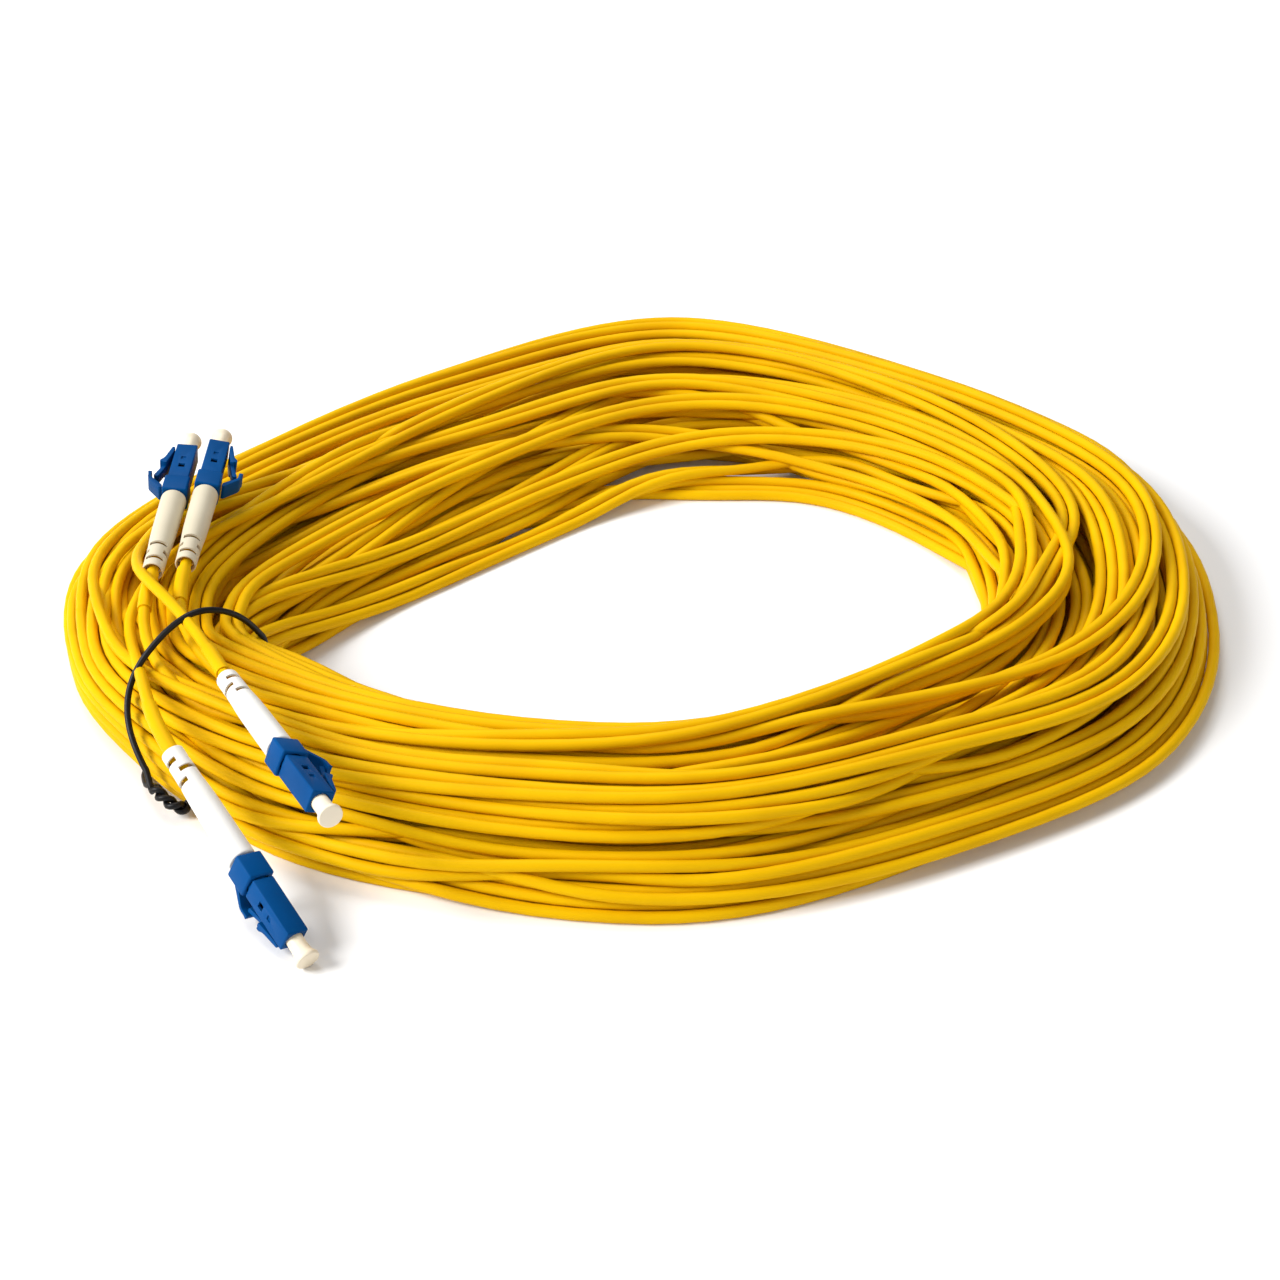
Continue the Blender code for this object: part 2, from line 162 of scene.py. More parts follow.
def smooth_route(stations, step):
    """Points at equal steps, about that long, on the smooth curve through the stations."""
    stations = np.array(stations, float)
    ends = (2 * stations[0] - stations[1], 2 * stations[-1] - stations[-2])
    padded = np.vstack([ends[:1], stations, ends[1:]])
    t = np.linspace(0.0, 1.0, 8, endpoint=False)[:, None]
    windows = zip(padded, padded[1:], padded[2:], padded[3:])
    fine = np.vstack([*(catmull_rom(*window, t) for window in windows), stations[-1:]])
    along = lengths_along(fine)
    want = np.linspace(0.0, along[-1], max(2, round(along[-1] / step) + 1))
    return np.column_stack([np.interp(want, along, fine[:, axis]) for axis in range(3)])


# ---------------------------------------------------------------------------------------------------
# Turns of the coil
# ---------------------------------------------------------------------------------------------------


class Coil:
    """The bundle's section at each station: its inside and outside, its width and its upper surface."""

    def __init__(self):
        sections = [(*inside, *outside, *rest) for inside, outside, *rest in COIL_SECTIONS]
        sections = np.column_stack([sections, INNER_FULLNESS, OUTER_FULLNESS])
        count = len(sections)
        place = np.arange(count * STEPS_PER_SECTION) / STEPS_PER_SECTION
        nearest = place.astype(int)
        around = [sections[(nearest + i) % count] for i in (-1, 0, 1, 2)]
        ring = catmull_rom(*around, (place - nearest)[:, None])
        ring = np.vstack([ring, ring[:1]])
        along = lengths_along((ring[:, :2] + ring[:, 2:4]) / 2)
        want = np.linspace(0.0, along[-1], STATIONS, endpoint=False)
        ring = np.column_stack([np.interp(want, along, column) for column in ring.T])
        self.inside = ring[:, :2]
        self.outside = ring[:, 2:4]
        self.floor = JACKET_R + np.maximum(ring[:, 6], 0.0)
        middle = (self.inside + self.outside) / 2
        heading = np.roll(middle, -1, 0) - np.roll(middle, 1, 0)
        heading /= np.linalg.norm(heading, axis=1)[:, None]
        across = self.outside - self.inside
        self.width = np.abs(across[:, 0] * heading[:, 1] - across[:, 1] * heading[:, 0])
        upright = np.linspace(0.0, 1.0, PROFILE_STEPS)[None] ** (1 / ring[:, 5:6])
        fullness = np.where(upright < 0.5, ring[:, 7:8], ring[:, 8:9])
        self.top = ring[:, 4:5] * np.maximum(1 - np.abs(2 * upright - 1) ** fullness, 0.0) ** 0.5

    def top_at(self, across):
        """The upper surface's height at places across the coil, from 0 (inside) to 1 (outside)."""
        place = np.clip(across, 0.0, 1.0) * (PROFILE_STEPS - 1)
        cell = np.minimum(place.astype(int), PROFILE_STEPS - 2)
        part = place - cell
        station = np.broadcast_to(np.arange(STATIONS), across.shape)
        return self.top[station, cell] * (1 - part) + self.top[station, cell + 1] * part

    def places(self, rank, share, station):
        """Where a jacket lies at one station, across and up (mm), for its rank by height and its share
        of the section's breadth at that height, both from 0 to 1."""
        top = self.top[station]
        heights = np.linspace(0.0, top.max(), 41)
        areas = np.array([np.minimum(top, height).mean() for height in heights])
        height = np.interp(rank, areas / areas[-1], heights)
        edges = np.array([np.flatnonzero(top >= level - 1e-9)[[0, -1]] for level in heights])
        low, high = (np.interp(height, heights, side) for side in edges.T / (PROFILE_STEPS - 1))
        margin = JACKET_R / self.width[station]
        across = np.clip(low + (high - low) * share, margin, 1 - margin)
        z = JACKET_R + height * (1 - 2 * JACKET_R / top.max())
        return across * self.width[station], z


coil = Coil()

# How far a jacket sinks at each round of the winding where nothing holds it up (mm), and how loosely
# the turns hang at each station: most at the coil's far side
SAG = 0.005
SLACK = np.clip(np.cos(2 * math.pi * (np.arange(STATIONS) / STATIONS - 0.8)), 0.0, 1.0)

# Initial course of the pair: where it lies across the bundle, how far it moves over in each turn, and
# how irregular its height rank, its place across and the tilt of the pair are. Waves are (waves per
# turn, size).
FIRST_SHARE = 0.45
SHARE_PER_TURN = 0.34
SHARE_WANDER = 0.36
RANK_WANDER = 0.13
RANK_WAVES = ((0.37, 0.6), (0.83, 0.5), (1.31, 0.4))
SHARE_WAVES = ((0.29, 0.5), (0.71, 0.6), (1.23, 0.6), (2.17, 0.25))
TILT_WAVES = ((0.23, 0.6), (0.61, 0.5))

# Stations at either end of the cord where its two jackets part for their legs
PARTED_AT_START = 16
PARTED_AT_END = 30

# Winding: clear distance between jackets as a share of their diameter, the share of an overlap and of
# a pair's gap that a round takes up, and the longest move in a round (mm)
CLEARANCE = 1.03
PUSH_APART = 0.35
PULL_TOGETHER = 0.3
LONGEST_MOVE = 0.6

# A push on a jacket moves it over this many stations, as it is too stiff to bend at one
SPREAD = 2.2 * np.hanning(11) / np.hanning(11).sum()

rng = np.random.default_rng(5)


def wander(turns, waves):
    """A smooth, irregular course: waves are (waves per turn, size)."""
    return sum(size * np.sin(2 * math.pi * (rate * turns + rng.random())) for rate, size in waves)


def leg_crossings(key):
    """Where a leg crosses the stations' sections, by station: (share across, height)."""
    route = smooth_route([PLUGS[key][0], *LEG_ROUTES[key]], 0.5)
    crossings = {}
    for station in range(-STATIONS // 4, STATIONS // 4):
        inside, outside = coil.inside[station], coil.outside[station]
        across = outside - inside
        ahead = (route[:, :2] - inside) @ np.array((-across[1], across[0]))
        share = (route[:, :2] - inside) @ across / (across @ across)
        at = np.flatnonzero((ahead[:-1] * ahead[1:] <= 0) & (share[:-1] > -0.3) & (share[:-1] < 1.5))
        if len(at):
            crossings[station] = (share[at[0]], route[at[0], 2])
    return crossings


def wind_coil(rounds=500):
    """The course of both jackets, as an array [jacket, turn, station, (share across, height)], and
    which of its entries are on the jacket. The turns start in order, top to bottom and up again, with
    an irregular course, and are then pushed apart. Some still lie partly in each other."""
    step = np.arange(FIRST_STATION, TURNS * STATIONS + max(LAST_STATIONS) + 1)
    turns = step / STATIONS
    station = step % STATIONS
    slot = step // STATIONS
    progress = (step - step[0]) / (step[-1] - step[0])
    loose = 0.95 + 0.3 * np.clip(0.5 - 0.6 * np.cos(2 * math.pi * (turns % 1 - 0.12)), 0.0, 1.0)
    rank = np.abs(1 - 2 * progress) + RANK_WANDER * loose * wander(turns, RANK_WAVES)
    share = FIRST_SHARE + SHARE_PER_TURN * turns + SHARE_WANDER * loose * wander(turns, SHARE_WAVES)
    share = np.abs(share % 2 - 1)
    share += 0.5 * ((1 - np.cos(math.pi * share)) / 2 - share)
    tilt = wander(turns, TILT_WAVES)
    for each in range(STATIONS):
        here = np.flatnonzero(station == each)
        order = np.argsort(np.argsort(rank[here]))
        rank[here] = (order + 0.5) / len(here)
    window = np.hanning(15) / np.hanning(15).sum()
    rank, share = (np.convolve(np.pad(values, 7, "edge"), window, "valid") for values in (rank, share))
    across, height = np.empty(len(step)), np.empty(len(step))
    for each in range(STATIONS):
        here = station == each
        across[here], height[here] = coil.places(rank[here], share[here], each)

    spots = np.zeros((2, TURNS + 1, STATIONS, 2))
    used = np.zeros(spots.shape[:3], bool)
    for jacket, side in enumerate((1, -1)):
        offset = side * PAIR_DISTANCE / 2
        spots[jacket, slot, station, 0] = (across + offset * np.cos(tilt)) / coil.width[station]
        spots[jacket, slot, station, 1] = height + offset * np.sin(tilt)
        ours = step <= TURNS * STATIONS + LAST_STATIONS[jacket]
        used[jacket, slot[ours], station[ours]] = True
    wanted = spots.copy()
    fixed = np.zeros_like(used)
    for jacket, legs in enumerate(JACKETS):
        for key, turn in zip(legs, (0, TURNS)):
            for at, spot in leg_crossings(key).items():
                entry = (jacket, turn + at // STATIONS, at % STATIONS)
                if 0 <= entry[1] <= TURNS:
                    spots[entry] = spot
                    fixed[entry] = used[entry] = True
    legs_at = spots[fixed]
    paired = np.zeros((TURNS + 1, STATIONS), bool)
    paired[slot, station] = (step > step[0] + PARTED_AT_START) & (step < step[-1] - PARTED_AT_END)

    courses = []
    for jacket in range(2):
        own = np.flatnonzero(used[jacket].ravel())
        courses.append((own // STATIONS, own % STATIONS))

    def by_station(values):
        return values.reshape(2 * (TURNS + 1), STATIONS, *values.shape[3:]).swapaxes(0, 1)

    taken = by_station(used)
    count = taken.shape[1]
    itself = np.eye(count, dtype=bool)
    elsewhere = 1e5 + 1e3 * np.arange(count)
    clear = JACKET_D * CLEARANCE
    margin = JACKET_R / coil.width
    for turn in range(rounds):
        done = turn / rounds
        straighten = 0.5 - 0.4 * done
        recall = 0.03 * (1 - done) ** 2
        places = spots.copy()
        places[..., 0] *= coil.width
        flat = by_station(places).copy()
        flat[..., 0] = np.where(taken, flat[..., 0], elsewhere)
        apart = flat[:, :, None] - flat[:, None]
        distance = np.sqrt((apart**2).sum(-1)) + 1e-9
        short = np.maximum(clear - distance, 0.0)
        short[:, itself] = 0.0
        push = (apart * (PUSH_APART * short / distance)[..., None]).sum(2)
        move = push.swapaxes(0, 1).reshape(spots.shape)
        across_pair = places[0] - places[1]
        pair_distance = np.sqrt((across_pair**2).sum(-1)) + 1e-9
        pull = PULL_TOGETHER * (pair_distance - PAIR_DISTANCE) / pair_distance
        pull = np.where(paired, pull, 0.0)
        pull = pull[..., None] * across_pair
        move[0] -= pull
        move[1] += pull
        move[..., 1] -= SAG * (1 + 4 * SLACK * np.clip(1 - 3 * spots[..., 0], 0.0, 1.0))
        for jacket, course in enumerate(courses):
            spread = move[jacket][course]
            for axis in range(2):
                padded = np.pad(spread[:, axis], len(SPREAD) // 2, "edge")
                spread[:, axis] = np.convolve(padded, SPREAD, "valid")
            size = np.sqrt((spread**2).sum(-1, keepdims=True))
            move[jacket][course] = spread * np.minimum(1.0, LONGEST_MOVE / np.maximum(size, 1e-9))
        spots[..., 0] += move[..., 0] / coil.width
        spots[..., 1] += move[..., 1]
        above = np.maximum(spots[..., 1] + 0.8 * JACKET_R - coil.top_at(spots[..., 0]), 0.0)
        spots[..., 1] -= 0.25 * above
        spots[..., 0] += 0.12 * above / coil.width * np.sign(0.35 - spots[..., 0])
        spots[..., 0] = np.clip(spots[..., 0], margin, 1 - margin)
        spots += recall * (wanted - spots)
        spots[fixed] = legs_at
        for jacket, course in enumerate(courses):
            line = spots[jacket][course]
            for _ in range(3 if done < 0.6 else 1):
                line[1:-1] += straighten * ((line[:-2] + line[2:]) / 2 - line[1:-1])
            line[:, 1] = np.maximum(line[:, 1], coil.floor[course[1]])
            spots[jacket][course] = line
        spots[fixed] = legs_at
    return spots, fixed, courses


def boot_axis(key):
    """The jacket's straight stretch inside a boot, from the plug's crimp out to the boot's tail."""
    tail, turn = PLUGS[key]
    roll, pitch, yaw = (math.radians(angle) for angle in turn)
    facing = Euler((roll, -pitch, yaw)).to_matrix()
    return [Vector(tail) + facing @ Vector((x, 0.0, 0.0)) for x in (JACKET_END_IN_BOOT, 9.0, 0.0)]


# Smoothing of a finished route: the spread and the reach of its window, in points
BEND_SPREAD = 4.0
BEND_REACH = 12


def evenly_bent(route, count):
    """The route without its sharpest corners, and with its points closest where it bends most."""
    window = np.exp(-0.5 * (np.arange(-BEND_REACH, BEND_REACH + 1) / BEND_SPREAD) ** 2)
    window /= window.sum()
    padded = np.pad(route, ((BEND_REACH, BEND_REACH), (0, 0)), "reflect", reflect_type="odd")
    route = np.column_stack([np.convolve(column, window, "valid") for column in padded.T])
    heading = np.gradient(route, axis=0)
    heading /= np.linalg.norm(heading, axis=1)[:, None]
    bend = np.linalg.norm(np.gradient(heading, axis=0), axis=1)
    density = np.sqrt(np.clip(np.convolve(bend, np.ones(5) / 5, "same"), 1 / 250, 1 / 4))
    place = np.concatenate([[0.0], np.cumsum((density[1:] + density[:-1]) / 2)])
    want = np.linspace(0.0, place[-1], count)
    return np.column_stack([np.interp(want, place, column) for column in route.T])


def jacket_routes():
    """Both jackets from plug to plug (mm): into the boot, along the leg, round the coil and back."""
    spots, fixed, courses = wind_coil()
    routes = []
    for jacket, (first, last) in enumerate(JACKETS):
        turn, station = courses[jacket]
        free = ~fixed[jacket][turn, station]
        free[1:-1] &= free[:-2] & free[2:]
        turn, station = turn[free], station[free]
        share, height = spots[jacket, turn, station].T
        inside, outside = coil.inside[station], coil.outside[station]
        wound = np.column_stack([inside + (outside - inside) * share[:, None], height])
        start = [*boot_axis(first), *LEG_ROUTES[first]]
        end = [*boot_axis(last), *LEG_ROUTES[last]][::-1]
        routes.append(evenly_bent(smooth_route([*start, *wound, *end], 1.0), MOST_POINTS))
    return routes


def to_scene(points):
    return (np.asarray(points, float) - (*PLUGS_MIDDLE, 0.0)) * MM


def cord_object(name, points, diameter, material, resolution):
    """A round cord or wire along points that are in the scene's frame (m)."""
    curve = bpy.data.curves.new(name, "CURVE")
    curve.dimensions = "3D"
    curve.bevel_depth = diameter / 2
    curve.bevel_resolution = resolution
    curve.use_fill_caps = True
    spline = curve.splines.new("POLY")
    spline.points.add(len(points) - 1)
    spline.points.foreach_set("co", np.column_stack([points, np.ones(len(points))]).ravel())
    spline.use_smooth = True
    curve.materials.append(material)
    obj = bpy.data.objects.new(name, curve)
    bpy.context.collection.objects.link(obj)
    return obj


# ---------------------------------------------------------------------------------------------------
# Materials
# ---------------------------------------------------------------------------------------------------


def plastic(name, colour, deeper, roughness, grain, grain_depth, patch=60.0, **sockets):
    """A moulded or extruded plastic: its colour drifts softly between two tones, its gloss varies a
    little and its surface has a fine grain. grain and patch are in waves per metre and per metre."""
    material = bpy.data.materials.new(name)
    material.use_nodes = True
    nodes, links = material.node_tree.nodes, material.node_tree.links
    shader = nodes["Principled BSDF"]
    for socket, value in sockets.items():
        shader.inputs[socket.replace("_", " ")].default_value = value
    place = nodes.new("ShaderNodeTexCoord")
    drift = nodes.new("ShaderNodeTexNoise")
    drift.inputs["Scale"].default_value = patch
    drift.inputs["Detail"].default_value = 3.0
    tones = nodes.new("ShaderNodeValToRGB")
    tones.color_ramp.elements[0].position = 0.3
    tones.color_ramp.elements[0].color = (*deeper, 1.0)
    tones.color_ramp.elements[1].position = 0.62
    tones.color_ramp.elements[1].color = (*colour, 1.0)
    links.new(place.outputs["Object"], drift.inputs["Vector"])
    links.new(drift.outputs["Fac"], tones.inputs["Fac"])
    links.new(tones.outputs["Color"], shader.inputs["Base Color"])
    fine = nodes.new("ShaderNodeTexNoise")
    fine.inputs["Scale"].default_value = grain
    fine.inputs["Detail"].default_value = 2.0
    links.new(place.outputs["Object"], fine.inputs["Vector"])
    gloss = nodes.new("ShaderNodeMapRange")
    gloss.inputs["To Min"].default_value = roughness - 0.06
    gloss.inputs["To Max"].default_value = roughness + 0.06
    links.new(fine.outputs["Fac"], gloss.inputs["Value"])
    links.new(gloss.outputs["Result"], shader.inputs["Roughness"])
    bump = nodes.new("ShaderNodeBump")
    bump.inputs["Strength"].default_value = 0.5
    bump.inputs["Distance"].default_value = grain_depth
    links.new(fine.outputs["Fac"], bump.inputs["Height"])
    links.new(bump.outputs["Normal"], shader.inputs["Normal"])
    return material


YELLOW = plastic(
    "jacket_yellow_pvc",
    (0.78, 0.45, 0.0006),
    (0.71, 0.39, 0.0006),
    0.5,
    2200.0,
    4e-5,
    Specular_IOR_Level=0.05,
)
WHITE = plastic(
    "boot_white_rubber",
    (0.80, 0.785, 0.745),
    (0.75, 0.73, 0.68),
    0.55,
    3000.0,
    3e-5,
    Specular_IOR_Level=0.25,
)
# The same white boot rubber with painted shade and a painted reflection of the yellow jackets: darker
# and yellower, for the A and B boots
BOOT_WHITE_PAINTED_SHADE = plastic(
    "boot_white_rubber_painted_shade",
    (0.66, 0.60, 0.46),
    (0.61, 0.54, 0.40),
    0.55,
    3000.0,
    3e-5,
    Specular_IOR_Level=0.2,
)
BLUE = plastic(
    "housing_blue_plastic",
    (0.0004, 0.066, 0.235),
    (0.0004, 0.05, 0.18),
    0.42,
    5000.0,
    1e-5,
    Specular_IOR_Level=0.05,
)
IVORY = plastic("cap_ivory_plastic", (0.86, 0.76, 0.59), (0.80, 0.69, 0.51), 0.45, 4000.0, 1e-5)
BLACK = plastic(
    "tie_black_coating",
    (0.005, 0.005, 0.006),
    (0.002, 0.002, 0.003),
    0.45,
    3500.0,
    3e-5,
    Specular_IOR_Level=0.25,
)

# ---------------------------------------------------------------------------------------------------
# Plugs
# ---------------------------------------------------------------------------------------------------

# Boot
BOOT_LENGTH = 27.2
BOOT_BORE_R = 1.85
BOOT_COLLAR_END = 28.6
SLOT_STATIONS = (2.6, 5.1, 7.6)
SLOT_WIDTH = 1.1
SLOT_HALF_SPAN = 1.75

# Housing
REAR_SPAN = (27.5, 33.0)
REAR_HALF = 2.7
REAR_BORE_R = 2.35
FRONT_SPAN = (33.3, 46.3)
FRONT_HALF = 2.25
FRONT_BORE_R = 1.8
SPIGOT_R = 2.05
SPIGOT_START = 31.0
WINDOW_SPAN = (37.0, 38.4)
WINDOW_HALF = 0.7
DIMPLE_AT = 40.7
DIMPLE_R = 0.55
DIMPLE_DEPTH = 0.25

# Latch and trigger
LATCH_WIDTH = 4.1
LATCH_ARM_WIDTH = 2.2
LATCH_LUG_REAR = 38.7
TRIGGER_WIDTH = 3.4

FINE_STEPS = 64


def rounded(outline, radii):
    """The outline with each corner rounded to its radius by a short arc."""
    points = []
    for i, (corner, radius) in enumerate(zip(outline, radii)):
        corner = Vector(corner)
        if not radius or i in (0, len(outline) - 1):
            points.append(corner)
            continue
        before = Vector(outline[i - 1]) - corner
        after = Vector(outline[i + 1]) - corner
        start = corner + before.normalized() * min(radius, before.length * 0.45)
        end = corner + after.normalized() * min(radius, after.length * 0.45)
        for t in (0.0, 0.25, 0.5, 0.75, 1.0):
            points.append(start * (1 - t) ** 2 + corner * 2 * t * (1 - t) + end * t**2)
    return points


def scratch_object(name, bm):
    mesh = bpy.data.meshes.new(name)
    bm.normal_update()
    bm.to_mesh(mesh)
    bm.free()
    obj = bpy.data.objects.new(name, mesh)
    bpy.context.collection.objects.link(obj)
    return obj


def turned(name, profile, steps=FINE_STEPS):
    """A body turned about the plug's axis from points (place along it, radius), in mm."""
    bm = bmesh.new()
    corners = [bm.verts.new((along * MM, radius * MM, 0.0)) for along, radius in profile]
    edges = [bm.edges.new(pair) for pair in zip(corners, corners[1:])]
    if profile[0][1] > 0:
        edges.append(bm.edges.new((corners[-1], corners[0])))
    bmesh.ops.spin(
        bm, geom=corners + edges, cent=(0, 0, 0), axis=(1, 0, 0), angle=2 * math.pi, steps=steps
    )
    bmesh.ops.remove_doubles(bm, verts=bm.verts, dist=1e-7)
    bmesh.ops.recalc_face_normals(bm, faces=bm.faces)
    return scratch_object(name, bm)


def blocks(name, *boxes):
    """Boxes in one mesh, each given as (x range, y range, z range) in mm."""
    bm = bmesh.new()
    for ranges in boxes:
        low = Vector([span[0] for span in ranges]) * MM
        high = Vector([span[1] for span in ranges]) * MM
        size = Matrix.Diagonal((*(high - low), 1.0))
        bmesh.ops.create_cube(bm, size=1.0, matrix=Matrix.Translation((low + high) / 2) @ size)
    return scratch_object(name, bm)


def plate(name, outline, width):
    """A plate as wide as given across Y, cut to an (x, z) outline, in mm."""
    bm = bmesh.new()
    face = bm.faces.new([bm.verts.new((x * MM, -width / 2 * MM, z * MM)) for x, z in outline])
    grown = bmesh.ops.extrude_face_region(bm, geom=[face])
    side = [part for part in grown["geom"] if isinstance(part, bmesh.types.BMVert)]
    bmesh.ops.translate(bm, verts=side, vec=(0.0, width * MM, 0.0))
    bmesh.ops.recalc_face_normals(bm, faces=bm.faces)
    return scratch_object(name, bm)


def combine(obj, other, operation="DIFFERENCE"):
    modifier = obj.modifiers.new("combine", "BOOLEAN")
    modifier.operation = operation
    modifier.solver = "EXACT"
    modifier.object = other


def soften(obj, width, segments=3):
    bevel = obj.modifiers.new("soften", "BEVEL")
    bevel.width = width * MM
    bevel.segments = segments
    bevel.limit_method = "ANGLE"
    bevel.angle_limit = math.radians(35)


def finished(obj, *helpers):
    """The mesh that the object's modifiers make, shaded smooth between sharp edges."""
    graph = bpy.context.evaluated_depsgraph_get()
    mesh = bpy.data.meshes.new_from_object(obj.evaluated_get(graph))
    for helper in (obj, *helpers):
        bpy.data.objects.remove(helper)
    mesh.polygons.foreach_set("use_smooth", [True] * len(mesh.polygons))
    mesh.set_sharp_from_angle(angle=math.radians(38))
    return mesh


def boot_mesh():
    outline = (
        ((BOOT_COLLAR_END, 1.6), 0.0),
        ((BOOT_COLLAR_END, 2.0), 0.1),
        ((BOOT_LENGTH, 2.0), 0.0),
        ((BOOT_LENGTH, 2.75), 0.55),
        ((12.0, 2.6), 3.0),
        ((7.5, 2.3), 3.0),
        ((0.0, 2.2), 0.25),
        ((0.0, BOOT_BORE_R), 0.15),
        ((13.7, BOOT_BORE_R), 0.0),
        ((13.7, 2.35), 0.0),
        ((24.7, 2.35), 0.0),
        ((24.7, 1.6), 0.0),
        ((BOOT_COLLAR_END, 1.6), 0.0),
    )
    points, radii = zip(*outline)
    boot = turned("boot_scratch", rounded(points, radii)[:-1])
    half = SLOT_WIDTH / 2
    slots = []
    for row, station in enumerate(SLOT_STATIONS):
        along = (station - half, station + half)
        wide, narrow = (-4.0, 4.0), (-SLOT_HALF_SPAN, SLOT_HALF_SPAN)
        slots.append((along, wide, narrow) if row % 2 == 0 else (along, narrow, wide))
    cutter = blocks("slots_scratch", *slots)
    combine(boot, cutter)
    soften(boot, 0.12, 2)
    return finished(boot, cutter)


def rear_case_mesh():
    across = (-REAR_HALF, REAR_HALF)
    case = blocks("rear_scratch", (REAR_SPAN, across, across))
    soften(case, 0.45, 4)
    bore = turned(
        "rear_bore", ((34.0, 0.0), (34.0, REAR_BORE_R), (26.5, REAR_BORE_R), (26.5, 0.0))
    )
    combine(case, bore)
    soften(case, 0.07, 2)
    return finished(case, bore)


def front_case_mesh():
    across = (-FRONT_HALF, FRONT_HALF)
    case = blocks("front_scratch", (FRONT_SPAN, across, across))
    soften(case, 0.28, 4)
    spigot = turned(
        "spigot_scratch", ((35.0, 0.0), (35.0, SPIGOT_R), (SPIGOT_START, SPIGOT_R), (SPIGOT_START, 0.0))
    )
    bore_profile = (
        (47.0, 0.0),
        (47.0, FRONT_BORE_R),
        (40.5, FRONT_BORE_R),
        (40.5, 1.45),
        (38.9, 1.45),
        (38.9, FRONT_BORE_R),
        (30.0, FRONT_BORE_R),
        (30.0, 0.0),
    )
    bore = turned("bore_scratch", bore_profile)
    window = (WINDOW_SPAN, (-3.0, 3.0), (-WINDOW_HALF, WINDOW_HALF))
    dimples = []
    for sign in (-1, 1):
        depth = sorted((sign * (FRONT_HALF - DIMPLE_DEPTH), sign * 3.0))
        span = (DIMPLE_AT - DIMPLE_R, DIMPLE_AT + DIMPLE_R)
        dimples.append((span, depth, (-DIMPLE_R, DIMPLE_R)))
    openings = blocks("openings_scratch", window, *dimples)
    combine(case, spigot, "UNION")
    combine(case, bore)
    combine(case, openings)
    soften(case, 0.08, 2)
    return finished(case, spigot, bore, openings)


def latch_mesh():
    outline = (
        ((45.1, 2.55), 0.0),
        ((45.1, 3.1), 0.2),
        ((40.6, 4.1), 0.6),
        ((39.6, 4.9), 0.4),
        ((38.9, 4.9), 0.15),
        ((38.9, 4.2), 0.2),
        ((34.5, 5.6), 0.3),
        ((34.4, 4.6), 0.4),
        ((39.5, 3.3), 1.2),
        ((43.4, 2.55), 0.8),
        ((45.1, 2.55), 0.0),
    )
    points, radii = zip(*outline)
    latch = plate("latch_scratch", rounded(points, radii)[:-1], LATCH_WIDTH)
    sides = []
    for sign in (-1, 1):
        edges = sorted((sign * LATCH_ARM_WIDTH / 2, sign * LATCH_WIDTH))
        sides.append(((33.0, LATCH_LUG_REAR), edges, (2.0, 7.0)))
    cutter = blocks("latch_sides", *sides)
    combine(latch, cutter)
    soften(latch, 0.1, 2)
    return finished(latch, cutter)


def trigger_mesh():
    outline = (
        ((29.2, 3.0), 0.0),
        ((30.2, 3.0), 0.3),
        ((31.6, 4.3), 0.6),
        ((33.3, 5.95), 0.6),
        ((35.3, 5.95), 0.1),
        ((35.3, 6.9), 0.25),
        ((34.7, 6.6), 0.3),
        ((33.0, 6.6), 0.8),
        ((31.0, 5.0), 0.8),
        ((29.2, 3.6), 0.2),
        ((29.2, 3.0), 0.0),
    )
    points, radii = zip(*outline)
    trigger = plate("trigger_scratch", rounded(points, radii)[:-1], TRIGGER_WIDTH)
    soften(trigger, 0.12, 2)
    return finished(trigger)


def cap_mesh():
    outline = (
        ((51.3, 0.0), 0.0),
        ((51.3, 2.3), 0.3),
        ((50.6, 2.35), 0.25),
        ((49.8, 1.85), 0.4),
        ((48.4, 1.65), 0.5),
        ((42.0, 1.65), 0.2),
        ((42.0, 0.95), 0.0),
        ((48.2, 0.95), 0.0),
        ((48.2, 0.0), 0.0),
    )
    points, radii = zip(*outline)
    return finished(turned("cap_scratch", rounded(points, radii)))


def metal(name, colour, roughness, scratches):
    """A turned metal: a fine noise varies its tone a little and its gloss."""
    material = bpy.data.materials.new(name)
    material.use_nodes = True
    nodes, links = material.node_tree.nodes, material.node_tree.links
    shader = nodes["Principled BSDF"]
    shader.inputs["Metallic"].default_value = 1.0
    place = nodes.new("ShaderNodeTexCoord")
    grain = nodes.new("ShaderNodeTexNoise")
    grain.inputs["Scale"].default_value = scratches
    tones = nodes.new("ShaderNodeValToRGB")
    tones.color_ramp.elements[0].color = (*(0.8 * channel for channel in colour), 1.0)
    tones.color_ramp.elements[1].color = (*colour, 1.0)
    gloss = nodes.new("ShaderNodeMapRange")
    gloss.inputs["To Min"].default_value = roughness - 0.08
    gloss.inputs["To Max"].default_value = roughness + 0.12
    links.new(place.outputs["Object"], grain.inputs["Vector"])
    links.new(grain.outputs["Fac"], tones.inputs["Fac"])
    links.new(grain.outputs["Fac"], gloss.inputs["Value"])
    links.new(tones.outputs["Color"], shader.inputs["Base Color"])
    links.new(gloss.outputs["Result"], shader.inputs["Roughness"])
    return material


STEEL = metal("crimp_steel", (0.62, 0.62, 0.64), 0.32, 4000.0)
NICKEL = metal("post_nickel", (0.70, 0.68, 0.62), 0.3, 5000.0)
ZIRCONIA = plastic("ferrule_zirconia", (0.92, 0.92, 0.90), (0.88, 0.88, 0.86), 0.15, 2500.0, 2e-6)
BUFFER = plastic("buffer_nylon", (0.80, 0.82, 0.85), (0.74, 0.76, 0.80), 0.4, 3000.0, 1e-5)

# Spring behind the ferrule, with its wire's centre on a coil round the plug's axis (mm)
SPRING_SPAN = (31.1, 36.5)
SPRING_R = 1.4
SPRING_WIRE_R = 0.17
SPRING_TURNS = 6
SPRING_STEPS_PER_TURN = 20
SPRING_SIDES = 10


